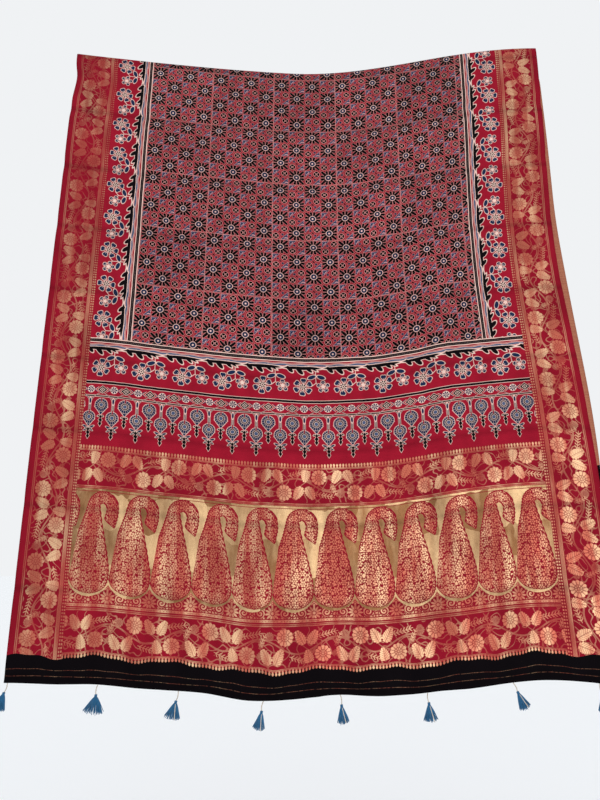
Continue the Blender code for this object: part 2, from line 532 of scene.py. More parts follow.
def brocade(name, draw):
    """Gold-wrapped thread floated over crimson silk: it glints where it shows and is raised a little.

    draw gives how much gold shows, the ground's colour, and where the gold is plain, if it is anywhere.
    """
    material = new_material(name, roughness=0.42, specular=0.02)
    flat = read_map(material, "flat")
    point = wandering(read_map(material, "pattern"), 0.4, 16)
    gold, ground, plain = draw(point)
    # Streaks down the drop where the folds catch the light, and sharper panes on the plain gold
    streaks = grain(flat, (24, 150), 2).scaled(3.2, -1.35)
    thread = layer(ROSE_GOLD, GOLD, streaks)
    if plain is not None:
        thread = layer(thread, layer(BRONZE, LIGHT_GOLD, draw_sheen(flat)), plain)
    threads = grain(flat, (1.0, 7.0), 2).scaled(0.5, 0.75)
    uneven = grain(flat, (50, 90), 3).scaled(0.7, 0.65)
    # Painted shade: the gold is drawn duller towards the front's top left corner, where the cloth turns from
    # the light
    x, y = split(flat)
    top_left_shade = (y / 400 - x / 300 - 0.9).most(0).least(1)
    gold = gold * top_left_shade.scaled(-0.5, 1)
    colour = layer(ground, toned(thread, threads), gold)
    feed(
        material,
        Base_Color=toned(colour, uneven * creased(flat)),
        Metallic=gold * 0.75,
        Roughness=gold.scaled(-0.28, 0.68),
        Normal=weave(flat, 0.35, gold),
    )
    return material


PANE = (44.0, 62.0)
PANE_START = (8, 5)


def draw_sheen(flat):
    """Plain gold pressed in panes by its folding away: some catch the light and some do not."""
    placed = wandering(wandering(flat, 16.0, 60.0), 5.0, 14.0)
    panes = seen_from(placed, PANE_START, size=PANE)
    panes = node(flat.tree, "ShaderNodeVectorMath", (panes,), operation="FLOOR")
    chance = node(flat.tree, "ShaderNodeTexWhiteNoise", {"Vector": panes}, output=0, noise_dimensions="2D")
    return chance.scaled(1.0, -0.25) + grain(flat, (18, 60), 2).scaled(1.1, -0.45)


# ---------------- the field: stars and medallions

CELL = 32.5
STAR_START = (16.5, 8.0)
BLOCK = 130.0
BLOCK_START = (0.5, -8)
MISPRINT = 0.8  # furthest that a block lands off its place, each way


def draw_field(point):
    """Stars and medallions in turn like a chessboard, block after block, with pale seams between blocks."""
    tree = point.tree
    block_place = seen_from(point, BLOCK_START, size=(BLOCK, BLOCK))
    block = node(tree, "ShaderNodeVectorMath", (block_place,), operation="FLOOR")
    chance = node(tree, "ShaderNodeTexWhiteNoise", {"Vector": block}, output=1, noise_dimensions="2D")
    inputs = (chance, (2 * MISPRINT, 2 * MISPRINT, 0), (-MISPRINT, -MISPRINT, 0))
    misprint = node(tree, "ShaderNodeVectorMath", inputs, operation="MULTIPLY_ADD")
    point = node(tree, "ShaderNodeVectorMath", (point, misprint), operation="ADD")
    cells = seen_from(point, STAR_START, size=(CELL, CELL))
    own = node(tree, "ShaderNodeVectorMath", (cells, (0.5, 0.5, 1), (-0.5, -0.5, -1)), operation="WRAP")
    own = node(tree, "ShaderNodeVectorMath", (own, (CELL, CELL, 1)), operation="MULTIPLY")
    checker = {"Vector": seen_from(cells, (-0.5, -0.5)), "Scale": 1.0}
    star_cell = node(tree, "ShaderNodeTexChecker", checker, output=1)
    colour = layer(draw_medallions(own), draw_star(own), star_cell)
    seams = node(tree, "ShaderNodeVectorMath", (block_place,), operation="FRACTION")
    seam_x, seam_y = split(seams)
    seam = cover((seam_x.pingpong(0.5)).least(seam_y.pingpong(0.5)) * BLOCK - 0.45)
    ink = split(chance)[0].scaled(0.20, 0.78)
    return toned(layer(colour, PALE, seam * 0.35), ink)


def draw_star(own):
    """A white-eyed indigo disc in a ring, with twelve black petals, the four diagonal ones long."""
    ring = length(own)
    x, y = split(own)
    long_petals = rod(join(x.size(), y.size()), (6.2, 6.2), 9.6, 2.8, 45, taper=0.04)
    short_petals = rod(round_petals(own, 12, 15), (8.6, 0), 5.0, 1.9, taper=-0.17)
    petals = long_petals.least(short_petals)
    return inked(
        CRIMSON,
        (PINK, petals - 0.4),
        (BLACK, petals),
        (PALE, ring - 6.5),
        (INDIGO, ring - 5.6),
        (PALE, ring - 1.7),
    )


def draw_medallions(own):
    """Two ringed roundels and two grey triangles, which swap places when the cell is turned half round."""
    x, y = split(own)
    inputs = {0: own, "Scale": (x + y).sign()}
    roundel = seen_from(node(own.tree, "ShaderNodeVectorMath", inputs, operation="SCALE"), (8.3, 8.1))
    ring = length(roundel)
    spokes = (beside_spoke(roundel, 4, 45) - 0.35).most(ring - 6.2)
    triangle = (x.size() - 15.2).most(y.size() - 15.2).most((x - y).size().scaled(-0.7, 11.6))
    flecks = grain(own, (3.4, 3.4), 1)
    mottled = layer(layer(GREY_BLUE, PINK, flecks.scaled(8, -4.6)), INDIGO, flecks.scaled(-8, 4.1))
    squares = (x.size() - 5.0).size().most((y.size() - 5.0).size()).most(x * y)
    return inked(
        CRIMSON,
        (PINK, stripe(ring, 9.7, 0.15)),
        (PINK, ring - 6.8),
        (BLACK, ring - 6.1),
        (PINK, spokes.least(ring - 1.7)),
        (BLACK, ring - 0.9),
        (PINK, triangle - 0.4),
        (mottled, triangle),
        (PINK, squares - 2.5),
        (INDIGO, squares - 2.2),
        (BLACK, length(own) - 1.7),
    )


# ---------------- the print round the field

FLOWER_PITCH = 74.1
FLOWER_START = 42.6
FLOWER_LINE = 58.0  # the middle of the big flowers, out from the field
WAVE_LENGTH = 34
FLAME_HOOKS = (  # middle, size and turn
    ((-24, 23.5), (8.0, 3.8), 45),
    ((-6, 25.5), (9.5, 4.2), 48),
    ((11, 23.5), (8.0, 2.9), 40),
    ((19, 22.0), (8.0, 2.0), 28),
)


def draw_print(point):
    """Stripes, a wavy line, flames and a row of flowers, from the field outwards."""
    x, y = split(point)
    beads = (x.pingpong(1.6) - 0.9).most(stripe(y, 4.6, 0.5))
    wave = (x * (math.tau / WAVE_LENGTH)).sine().scaled(0.8, y)
    group = repeated(point, FLOWER_PITCH, FLOWER_START)
    flames = oval(group, (-1, 20.5), (34, 3.2))
    for hook in FLAME_HOOKS:
        flames = flames.least(oval(group, *hook))
    colour = inked(
        CRIMSON,
        (PALE, stripe(y, 0.9, 0.8).least(stripe(y, 8.2, 0.8))),
        (BLACK, stripe(y, 4.6, 2.8)),
        (STEM_GREY, beads),
        (PALE, stripe(wave, 15.4, 2.2).least(stripe(wave, 11.6, 0.3))),
        (GREY_BLUE, stripe(wave, 15.6, 1.7)),
        (PALE, flames - 1.0),
        (BLACK, flames),
    )
    spray = seen_from(repeated(point, FLOWER_PITCH, FLOWER_START + 12), (-12, FLOWER_LINE), size=(1, -1))
    return draw_flowers(colour, spray)


def draw_flowers(colour, spray):
    """A six-petalled flower, a smaller half-open one, and a two-leaved twig that joins them."""
    fork = seen_from(spray, (24, 8))
    stems = rod(fork, (0, 0), 11, 0.6, 220).least(rod(fork, (0, 0), 10, 0.6, -42))
    stems = stems.least(rod(fork, (0, 0), 24, 0.6, 92))
    leaves = oval(spray, (16.5, 19.5), (7.5, 3.8), 22).least(oval(spray, (33.5, 19.5), (7.5, 3.8), -18))
    spoke_x, spoke_y = split(round_petals(spray, 6, 25))
    dented = join(spoke_y.size().scaled(-0.35, spoke_x), spoke_y)
    small = seen_from(spray, (37, 1))
    petals = oval(dented, (12.2, 0), (4.5, 4.9))
    petals = petals.least(oval(round_petals(small, 5, 20), (8.3, 0), (3.4, 3.5))).least(leaves)
    big_ring = length(spray)
    small_ring = length(small)
    white = (petals - 0.9).least(big_ring - 6.4).least(small_ring - 3.6).least(stems)
    cores = petals.most(big_ring.scaled(-1, 8.0)).most(small_ring.scaled(-1, 5.2))
    veins = rod(round_petals(spray, 18), (7.0, 0), 4.0, 0.35).least(stripe(small_ring, 7.6, 0.3))
    specks = oval(round_petals(spray, 7), (4.3, 0), (1.9, 1.3)).least(big_ring - 1.4)
    return inked(colour, (PALE, white), (INDIGO, cores), (PALE, veins), (BLACK, specks))


# ---------------- the drops and diamonds below it

DROP_PITCH = 43.0
DROP_START = 37.3
DIAMOND_LINE = 16.8
DROPS_TOP = 30.0  # of the rule that the drops hang from
BUDS = (  # height, slope and half width
    (-4.5, 0.8, 3.2),
    (1.5, 0.8, 3.8),
    (8.0, 0.6, 3.2),
)


def draw_drops(point):
    """A ruled band of diamonds, with a long and a short row of drops hanging from it."""
    y = split(point)[1]
    across, up = split(repeated(point, DROP_PITCH, DROP_START, DIAMOND_LINE))
    lozenge = across.size().scaled(0.78, up.size())
    chevrons = stripe(lozenge, 10.6, 0.4).most(up.size() - 5.2)
    between = DROP_START + DROP_PITCH / 2
    rosette = repeated(point, DROP_PITCH, between, DIAMOND_LINE)
    reach = length(rosette)
    dots = oval(round_petals(rosette, 7), (4.3, 0), (1.9, 1.4)).least(stripe(reach, 1.6, 0.6))
    colour = inked(
        CRIMSON,
        (PALE, stripe(y, 3.2, 3.0).least(stripe(y, 29.5, 1.9))),
        (BLACK, stripe(y, 3.2, 2.2).least(stripe(y, 29.5, 1.2))),
        (PALE, chevrons.least(lozenge - 7.7)),
        (INDIGO, stripe(lozenge, 12.2, 0.9).most(up.size() - 4.4)),
        (BLACK, lozenge - 6.9),
        (PALE, stripe(lozenge, 3.4, 0.55).least(lozenge - 0.9)),
        (PALE, reach - 6.8),
        (INDIGO, dots),
    )
    long_row = repeated(point, DROP_PITCH, between, DROPS_TOP)
    short_row = repeated(point, DROP_PITCH, DROP_START, DROPS_TOP)
    colour = draw_stem(colour, long_row)
    colour = draw_drop(colour, seen_from(long_row, (0, 39.5)), 10.8)
    colour = draw_bow(colour, seen_from(long_row, (0, 58.5)))
    colour = draw_drop(colour, seen_from(short_row, (0, 16)), 11.6)
    colour = draw_finial(colour, seen_from(short_row, (0, 43)))
    return draw_finial(colour, seen_from(long_row, (0, 67)))


def draw_stem(colour, own):
    """A stem that flares out to the rule above it, with a small spear in the flare."""
    across, down = split(own)
    flare = down.scaled(-1 / 11, 1).most(0)
    line = ((across.size() - (flare * flare).scaled(6.5, 1.2)).size() - 0.9).most(down - 28)
    spear = oval(own, (0, 9), (1.9, 5.4))
    return inked(colour, (PALE, line - 0.4), (STEM_GREY, line), (PALE, spear - 0.8), (INDIGO, spear))


def draw_drop(colour, own, radius):
    """A drop with an eye and indigo strokes all round it, coming to a point below."""
    across, down = split(own)
    ring = length(own)
    width = across.size()
    point_sides = width.scaled(0.78, down.scaled(0.62, -radius))
    body = (ring - radius).least(point_sides.most(down.scaled(-1, 4.0)))
    gaps = (beside_spoke(own, 16, 11.25) - 0.15).least(stripe(ring, 12.6, 0.2)).most(body)
    return inked(
        colour,
        (PALE, body - 0.8),
        (INDIGO, body),
        (PALE, gaps.least(stripe(ring, 6.5, 0.3))),
        (CRIMSON, (width - 0.8).most(stripe(down, 1 - radius, 4.0))),
        (BLACK, ring - 6.0),
        (PALE, ring - 4.2),
        (GREY_BLUE, ring - 3.5),
    )


def draw_finial(colour, own):
    """Black buds in a stack, each smaller than the last, edged with white."""
    across, down = split(own)
    width = across.size()
    stack = oval(join(width, down), (4.0, -6.0), (2.0, 1.3), 30)
    for middle, slope, half in BUDS:
        stack = stack.least((down - middle).size().scaled(slope, width) - half)
    return inked(colour, (PALE, stack - 0.7), (BLACK, stack))


def draw_bow(colour, own):
    """Strokes curving out to both sides under a long drop."""
    across, down = split(own)
    mirrored = join(across.size(), down)
    bow = oval(mirrored, (5.8, -0.5), (5.0, 1.9), -24).least(oval(mirrored, (4.4, 4.4), (4.6, 1.7), 32))
    return inked(colour, (PALE, bow - 0.5), (INDIGO, bow))


# ---------------- the brocade bands

TOOTH_PITCH = 5.4
VINE_PITCH = 61.5  # of the flowers, alternate ones in the other row
VINE_REPEAT = 2 * VINE_PITCH
HALF_TONE = 0.42  # of motifs woven half gold, half red


def leaf(own, at, turn, size):
    """A toothed leaf, pointed at its far end, with its midrib and veins left in the ground's colour."""
    x, y = split(seen_from(own, at, turn))
    width = y.size()
    teeth = (x * 1.6).sine() * 0.5
    narrowing = x.scaled(0.32 / size[0], 1.0)
    edge = length(join(x / size[0], y * narrowing / size[1])).scaled(size[1], -size[1]) + teeth
    rib = width - 0.5
    veins = ((x - width * 0.9).pingpong(2.0) - 0.35).most(stripe(x, 0, size[0] * 0.75))
    return cover(edge) * cover(rib.least(veins), 0.8).scaled(-0.55, 1)


def marigold(own, size):
    """A round flower of two rings of petals."""
    place = seen_from(own, size=(size[0] / 10, size[1] / 10))
    ring = length(place)
    outer = oval(round_petals(place, 12), (7.6, 0), (2.6, 2.3)).least(ring - 7.8)
    lines = (beside_spoke(place, 12, 15) - 0.32).most(stripe(ring, 6.4, 1.7))
    lines = lines.least((beside_spoke(place, 8) - 0.35).most(stripe(ring, 3.2, 1.0)))
    lines = lines.least(stripe(ring, 4.5, 0.3)).least(stripe(ring, 1.5, 0.3))
    return cover(outer, 0.6) * cover(lines, 0.7).scaled(-0.85, 1)


def fern(own, at, turn, reach, leaflet=4.6):
    """A stem with slanting leaflets down both sides."""
    x, y = split(seen_from(own, at, turn))
    width = y.size()
    slant = (x - width * 0.8).pingpong(2.6) - 1.0
    leaflets = slant.most(width - leaflet).most(x.size() - reach)
    return cover(leaflets.least((width - 0.55).most(x.size() - reach - 2)))


def draw_vine(point, near, far, size):
    """A trailing vine with marigolds and leaves in two staggered rows, near to and far from the inner line.

    size is the marigold's half length and half height; the leaves are worked out from it.
    """
    point = seen_from(point, (-6, 0))
    x, y = split(point)
    middle = (near + far) / 2
    tall = size[1] / size[0]
    stalk = stripe((x * (math.tau / VINE_REPEAT) - 0.9).sine().scaled(-0.42 * (far - near), y), middle, 1.5)
    twigs = stripe((x * (math.tau / VINE_PITCH) + 0.4).sine().scaled(0.3 * (far - near), y), middle, 0.9)
    tendrils = (grain(point, (15, 15), 0) - 0.5).size().scaled(18, -0.75)
    ferns = repeated(point, VINE_REPEAT, 45, far)
    bits = fern(ferns, (-9, 4), 12, 15).most(fern(ferns, (8, -4), 62, 9 * tall, 3.6))
    bits = bits.most(fern(repeated(point, VINE_REPEAT, 109, near), (0, -6), -20, 12))
    berries = repeated(point, VINE_REPEAT, 64, far)
    toned_bits = cover(stalk.least(twigs).least(tendrils))
    toned_bits = toned_bits.most(marigold(seen_from(berries, (0, 2)), (7.0, 7.0 * tall)))
    toned_bits = toned_bits.most(leaf(berries, (-12, -9 * tall), 60, (8.0 * tall, 3.6)))
    toned_bits = toned_bits.most(leaf(repeated(point, VINE_REPEAT, 50, near), (0, 3), 40, (9, 4)))
    gold = (toned_bits * HALF_TONE).most(bits * 0.8)
    leaf_size = (size[1] * 0.92, size[0] * 0.58)
    for row, flower_x, pair_x in ((near, 27, 68), (far, 89, 124)):
        gold = gold.most(marigold(repeated(point, VINE_REPEAT, flower_x, row), size))
        across, up = split(repeated(point, VINE_REPEAT, pair_x, row))
        gold = gold.most(leaf(join(across.size(), up), (leaf_size[1] + 3.0, 0), 62, leaf_size))
    single = repeated(point, VINE_REPEAT, 3.5, near - 3)
    return gold.most(leaf(single, (0, 0), 100, (leaf_size[0] * 0.9, leaf_size[1])))


def draw_teeth(point, height):
    """Teardrop teeth that point back along the second number, over a row of red eyes in a gold stripe."""
    tooth = repeated(point, TOOTH_PITCH)
    share = height / 10
    gold = cover(oval(tooth, (0, 3.0 * share), (1.8, 2.8 * share)))
    y = split(tooth)[1]
    solid = cover(stripe(y, 7.8 * share, 2.2 * share)) * 0.75
    eyes = oval(repeated(point, TOOTH_PITCH, TOOTH_PITCH / 2), (0, 6.4 * share), (1.4, 1.1))
    thin = stripe(y, 8.7 * share, 0.35)
    return gold.most(solid * cover(eyes.least(thin)).scaled(-1, 1))


def draw_ladder(point, height):
    """Two columns of little gold blocks, and beside them a plain stripe woven half gold."""
    x, y = split(repeated(point, 5.2))
    blocks = (x.size() - 1.5).most(stripe(y, 1.9, 1.3).least(stripe(y, 5.6, 1.0)))
    band = cover(stripe(y, height / 2 + 4.2, height / 2 - 4.6)) * 0.55
    lines = stripe(y, 8.6, 0.35).least(stripe(y, height - 1.0, 0.6))
    return (cover(blocks) * 0.9).most(band).most(cover(lines) * 0.8)


def draw_band(edge, edge_height, near, far, size, end, width, edge_ground=DEEP_RED):
    """A brocade band from its patterned inner line, through a vine that stops at end, to its outer rules."""

    def draw(point):
        y = split(point)[1]
        vine = draw_vine(point, near, far, size)
        gold = vine * cover(stripe(y, (edge_height + end) / 2, (end - edge_height) / 2 - 0.8))
        gold = gold.most(edge(point, edge_height))
        rules = stripe(y, end + 1.5, 0.9).least(stripe(y, end + 4.2, 0.6)).most(y - width)
        ground = layer(DEEP_RED, edge_ground, cover(y - edge_height * 0.52))
        return gold.most(cover(rules) * 0.6), ground, None

    return draw


# ---------------- the paisleys

PAISLEY_PITCH = 68.2
PAISLEY_BASE = 21.0  # height of the scrolls below them
PAISLEY_HEIGHT = 172.0
# Height above the foot, and how far the outline stands from the body's middle there, in millimetres
PAISLEY_LEFT = ((0, 4), (6, -18), (16, -29), (33, -33), (64, -30), (100, -23), (126, -15), (150, -9))
PAISLEY_RIGHT = ((0, 4), (6, 20), (16, 29), (33, 32), (64, 28), (95, 21), (125, 14), (150, 9))
HOOK_OUTSIDE = ((112, 37), (120, 39), (130, 41), (140, 41.5), (150, 41))
HOOK_INSIDE = ((112, 37), (119, 28), (127, 22), (137, 24), (150, 24))
ARCH = (16.0, 146.0)  # the middle of the crown's arch, which joins the body to the hook
CURVE_SPAN = 60.0  # the curves' numbers run from minus to plus this
# The dips under the paisleys, above their base: the middle and reach of each dip's edge, and its top
DIP_MIDDLE = 34
DIP_REACH = 38.5
DIP_TOP = 21


def outline(height, points):
    """One side of the paisley as a smooth curve over its height."""
    made = node(height.tree, "ShaderNodeFloatCurve", {1: height / PAISLEY_HEIGHT})
    curve = made.socket.node.mapping.curves[0]
    while len(curve.points) < len(points):
        curve.points.new(0.5, 0.5)
    for spot, (up, out) in zip(curve.points, points):
        spot.location = (up / PAISLEY_HEIGHT, out / (2 * CURVE_SPAN) + 0.5)
    made.socket.node.mapping.update()
    return made.scaled(2 * CURVE_SPAN, -CURVE_SPAN)


def paisley_edge(point):
    """How far outside the nearest paisley, and its own coordinates. They lean, so the hooks pass over."""
    x, y = split(point)
    lean = y.scaled(0.13, -6.0)
    own_x = (x - lean - PAISLEY_PITCH / 2).wrap(PAISLEY_PITCH / 2, -PAISLEY_PITCH / 2) + lean
    height = y - PAISLEY_BASE
    left = outline(height, PAISLEY_LEFT)
    right = outline(height, PAISLEY_RIGHT)
    outside = outline(height, HOOK_OUTSIDE)
    inside = outline(height, HOOK_INSIDE)
    body = (left - own_x).most(own_x - right).most(height - ARCH[1])
    hook = (inside - own_x).most(own_x - outside).most(height.scaled(-1, 112)).most(height - ARCH[1])
    reach = length(join(own_x - ARCH[0], height - ARCH[1]))
    crown = (reach - 25.3).most(reach.scaled(-1, 7.4)).most(height.scaled(-1, ARCH[1]))
    bumps = ((own_x + height * 0.7) * 1.2).sine() * 0.5
    edge = body.least(hook).least(crown) + bumps - 1.0
    return edge.most(height.scaled(-1, 0)), own_x, height


def small_flowers(point, size, petals):
    """Little flowers strewn close together: how far outside one the point is, and outside its clearing."""
    spread = {"Vector": point, "Scale": 1 / size, "Randomness": 0.45}
    spot = node(point.tree, "ShaderNodeTexVoronoi", spread, output=2, voronoi_dimensions="2D")
    own = node(point.tree, "ShaderNodeVectorMath", (point, spot), operation="SUBTRACT")
    ring = length(own)
    lobes = oval(round_petals(own, petals), (size * 0.27, 0), (size * 0.13, size * 0.115))
    return lobes.least(ring - size * 0.09), ring - size * 0.43


def leafy_net(point, size):
    """Small gold leaves packed with red lines between them."""
    cells = {"Vector": point, "Scale": 1 / size, "Randomness": 0.85}
    settings = {"voronoi_dimensions": "2D", "feature": "DISTANCE_TO_EDGE"}
    return node(point.tree, "ShaderNodeTexVoronoi", cells, **settings).scaled(-size, 0.85)


def draw_paisleys(point):
    """Paisleys of red line work on plain gold, over a row of scrolls."""
    edge, own_x, height = paisley_edge(point)
    inner = join(own_x, height)
    flowers, clear = small_flowers(inner, 14.0, 6)
    net = leafy_net(seen_from(wandering(inner, 5.0, 8.0), size=(0.75, 1.3)), 6.0).most(clear * -1)
    filling = cover(flowers.least(net)) * cover(edge + 2.6)
    dots = (own_x + height * 0.7).pingpong(2.2) - 1.2
    filling = filling.most(cover(dots.most(stripe(edge, -1.7, 0.7))) * 0.9)
    x, y = split(point)
    beside = (x - PAISLEY_PITCH / 2).wrap(PAISLEY_PITCH / 2, -PAISLEY_PITCH / 2)
    foot = length(join(beside, y - PAISLEY_BASE - DIP_MIDDLE))
    above = y - PAISLEY_BASE - DIP_TOP
    under = foot.scaled(-1, DIP_REACH).most(above)
    ribs = (y * (math.tau / 2.2)).sine().scaled(0.06, 0.94)
    plain = cover(edge.scaled(-1, 1.0)) * cover(under * -1)
    gold = filling.most(plain * ribs)
    ribbon = stripe(foot, 37.4, 0.8).most(above)
    scrolls = (draw_scrolls(point) * 0.8).most(cover(ribbon)) * cover(under - 2.4)
    gold = gold.most(scrolls * cover(edge * -1))
    rules = stripe(y, 1.0, 0.9).least(stripe(y, 3.6, 1.1)).least(stripe(y, 196.0, 1.8))
    red_line = cover(stripe(y, 193.6, 0.5).least(stripe(y, 5.6, 0.6)))
    gold = (gold * red_line.scaled(-1, 1)).most(cover(rules) * 0.7)
    return gold, DEEP_RED, plain


def draw_scrolls(point):
    """A palmette in each dip under the paisleys, with a curl at each side and small leaves between."""
    valley = repeated(point, PAISLEY_PITCH)
    palm = seen_from(valley, (0, 15))
    fan = oval(round_petals(palm, 11, 90), (8.0, 0), (4.4, 1.7)).least(length(palm) - 2.6)
    bloom = seen_from(valley, (0, 32))
    fan = fan.least(oval(round_petals(bloom, 6, 30), (4.6, 0), (2.6, 1.7)).least(length(bloom) - 1.4))
    across, up = split(valley)
    curl = seen_from(join(across.size(), up), (20.5, 15))
    cx, cy = split(curl)
    reach = length(curl)
    spiral = ((reach - cy.angle_over(cx) * (4.6 / math.tau)).pingpong(2.3) - 1.2).most(reach - 7.6)
    clear = (length(palm) - 13.5).least(reach - 8.4).least(length(bloom) - 8.0)
    return cover(fan.least(spiral).least(leafy_net(point, 5.0).most(clear * -1)))


# ---------------- the black end

STITCH_PITCH = 134


def draw_black_end(point):
    """Plain black cotton with two thin gold lines that kink towards the tassels' stitches."""
    x, y = split(point)
    kinked = ((x - 10) / STITCH_PITCH).pingpong(0.5).scaled(-5.0, y)
    lines = stripe(kinked, 10.0, 0.32).least(stripe(kinked, 20.0, 0.32))
    broken = grain(point, (3.0, 20.0), 1).scaled(1.6, -0.35)
    return cover(lines) * broken * 0.5, BLACK_COTTON, None


def reverse_of_brocade():
    """The back of the brocade, where the gold threads run loose across in streaks."""
    material = new_material("Brocade reverse, floating zari threads", 0.55, specular=0.3, metallic=0.35)
    flat = read_map(material, "flat")
    colour = layer(LOOSE_RED, LOOSE_GOLD, grain(flat, (40.0, 1.3), 3))
    feed(material, Base_Color=colour, Normal=weave(flat, 0.4))
    return material


def reverse_of_black_end():
    """Black cotton, dull, with a few loose gold threads lying along it."""
    material = new_material("Black cotton reverse", roughness=0.85, specular=0.02)
    flat = read_map(material, "flat")
    loose = grain(flat, (60.0, 1.6), 2).scaled(7.0, -4.9)
    feed(material, Base_Color=layer(BLACK_COTTON, BRONZE, loose), Normal=weave(flat, 0.3))
    return material


def reverse_of_print():
    """The back of the print, where the dyes have soaked through thinly and blurred."""
    material = new_material("Printed cotton reverse", roughness=0.8, specular=0.2)
    flat = read_map(material, "flat")
    colour = layer(SOAKED_RED, SOAKED_INK, grain(flat, (9.0, 9.0), 3, 0.7).scaled(5.0, -2.3))
    feed(material, Base_Color=colour, Normal=weave(flat, 0.25))
    return material


BORDER = {"edge": draw_ladder, "edge_height": 15.0, "near": 30.5, "far": 60.5, "size": (14.0, 14.5)}
BORDER |= {"end": 75.5, "width": 90.0}
LOWER_BAND = {"edge": draw_teeth, "edge_height": 9.0, "near": 27.0, "far": 56.0, "size": (13.5, 14.0)}
LOWER_BAND |= {"end": 73.0, "width": 80.0, "edge_ground": BLACK}
UPPER_BAND = {"edge": draw_teeth, "edge_height": 10.0, "near": 25.0, "far": 54.0, "size": (13.5, 14.0)}
UPPER_BAND |= {"end": 72.0, "width": 78.0}


def make_cloth_materials():
    """The front of each region in turn, then the reverse of each, as the wall's material offset counts."""
    flower_print = printed("Ajrakh print, flower border", draw_print)
    fronts = {
        "black_end": brocade("Black cotton end with zari lines", draw_black_end),
        "border": brocade("Zari brocade side border", draw_band(**BORDER)),
        "lower_band": brocade("Zari brocade lower band", draw_band(**LOWER_BAND)),
        "upper_band": brocade("Zari brocade upper band", draw_band(**UPPER_BAND)),
        "paisley": brocade("Zari brocade paisleys on gold", draw_paisleys),
        "drops": printed("Ajrakh print, drops and diamonds", draw_drops),
        "end_print": flower_print,
        "side_print": flower_print,
        "field": printed("Ajrakh print, star field", draw_field),
    }
    brocade_back = reverse_of_brocade()
    print_back = reverse_of_print()
    backs = {region: brocade_back if region in BROCADES else print_back for region in REGIONS}
    backs["black_end"] = reverse_of_black_end()
    return [fronts[region] for region in REGIONS] + [backs[region] for region in REGIONS]


# ---------------- the cloth


def make_object(name, form, materials):
    mesh = bpy.data.meshes.new(name)
    form.to_mesh(mesh)
    form.free()
    for material in materials:
        mesh.materials.append(material)
    made = bpy.data.objects.new(name, mesh)
    bpy.context.scene.collection.objects.link(made)
    return made


def make_cloth():
    """One fine sheet with two maps in millimetres: the cloth laid flat, and each region's own pattern."""
    across_places, along_places = cloth_stations()
    columns = len(across_places) - 1
    rows = len(along_places) - 1
    form = bmesh.new()
    bmesh.ops.create_grid(form, x_segments=columns, y_segments=rows, size=0.5)
    flat_map = form.loops.layers.uv.new("flat")
    pattern_map = form.loops.layers.uv.new("pattern")
    flat = {}
    for vert in form.verts:
        across = across_places[round((vert.co.x + 0.5) * columns)]
        along = along_places[round((vert.co.y + 0.5) * rows)]
        flat[vert] = (across, along)
        vert.co = cloth_point(across, along + waver(across, along))
    for face in form.faces:
        across = sum(flat[vert][0] for vert in face.verts) / len(face.verts)
        along = sum(flat[vert][1] for vert in face.verts) / len(face.verts)
        region = region_of(across, along)
        end = 1 if along < LENGTH / 2 else -1
        side = 1 if across < WIDTH / 2 else -1
        face.material_index = REGIONS.index(region)
        for loop in face.loops:
            place = flat[loop.vert]
            loop[flat_map].uv = Vector(place) * MM
            loop[pattern_map].uv = Vector(pattern_place(region, end, side, *place)) * MM
    cloth = make_object("ajrakh_cloth", form, make_cloth_materials())
    cloth.data.shade_smooth()
    wall = cloth.modifiers.new("Thickness", "SOLIDIFY")
    wall.thickness = THICKNESS
    wall.offset = 0
    wall.material_offset = len(REGIONS)
    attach(cloth, "root")
    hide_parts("cloth")
    return cloth


cloth = make_cloth()

# ---------------- tassels

# Each tassel's place across, its lean to the right in degrees, and how wide its fan is
FRONT_TASSELS = (
    (0.006, -16, 1.1),
    (0.154, -6, 1.5),
    (0.281, -12, 1.2),
    (0.417, -10, 0.9),
    (0.539, 6, 0.9),
    (0.678, 5, 1.1),
    (0.815, 24, 0.9),
    (0.951, 10, 1.2),
)
BACK_TASSELS = (
    (0.010, -8, 1.1),
    (0.150, 7, 0.9),
    (0.285, -10, 1.3),
    (0.425, 4, 1.0),
    (0.565, -6, 1.2),
    (0.700, 12, 0.9),
    (0.840, 6, 1.1),
    (0.975, 9, 1.0),
)
CORD_LENGTH = 0.014
CORD_STEPS = 14
CORD_SWAY = 0.0012
NECK_LENGTH = 0.004
NECK_RADIUS = 0.0024
SKIRT_LENGTH = 0.026
SKIRT_RADIUS = 0.0115
SKIRT_DEPTH = 0.45
STITCH_GAP = 0.0005
PLIES = 2
PLY_RADIUS = 0.00055
PLY_TURNS = 3.5
WRAP_TURNS = 5
WRAP_STEPS = 8  # in each turn
WRAP_RADIUS = 0.0005
THREADS = 54
THREAD_RADIUS = 0.00055
THREAD_SWELLS = (1.0, 1.25, 1.3, 1.2, 1.1, 0.7)
PALE_THREADS = (36, 37)  # in the tassels whose numbers are in PALE_TASSELS
PALE_TASSELS = range(3, 8)
STRAND = 0.0008


def thread_material(name, code):
    """Spun cotton thread: matt and faintly fuzzy, lighter along its twist."""
    material = new_material(name, roughness=0.8, specular=0.2, sheen=0.2)
    tree = material.node_tree
    where = node(tree, "ShaderNodeTexCoord", output="Object")
    inputs = (where, (0, 0, 0), (0, 0.5, 0), (STRAND, STRAND, 4 * STRAND))
    place = node(tree, "ShaderNodeMapping", inputs, vector_type="TEXTURE")
    strands = node(tree, "ShaderNodeTexNoise", {"Vector": place, "Scale": 1.0, "Detail": 2})
    feed(material, Base_Color=toned(linear(code), strands.scaled(1.1, 0.5)))
    return material


BLUE_THREAD = thread_material("Blue cotton thread", "#245f87")
CORD_THREAD = thread_material("Undyed twisted cotton cord", "#cfc3b4")


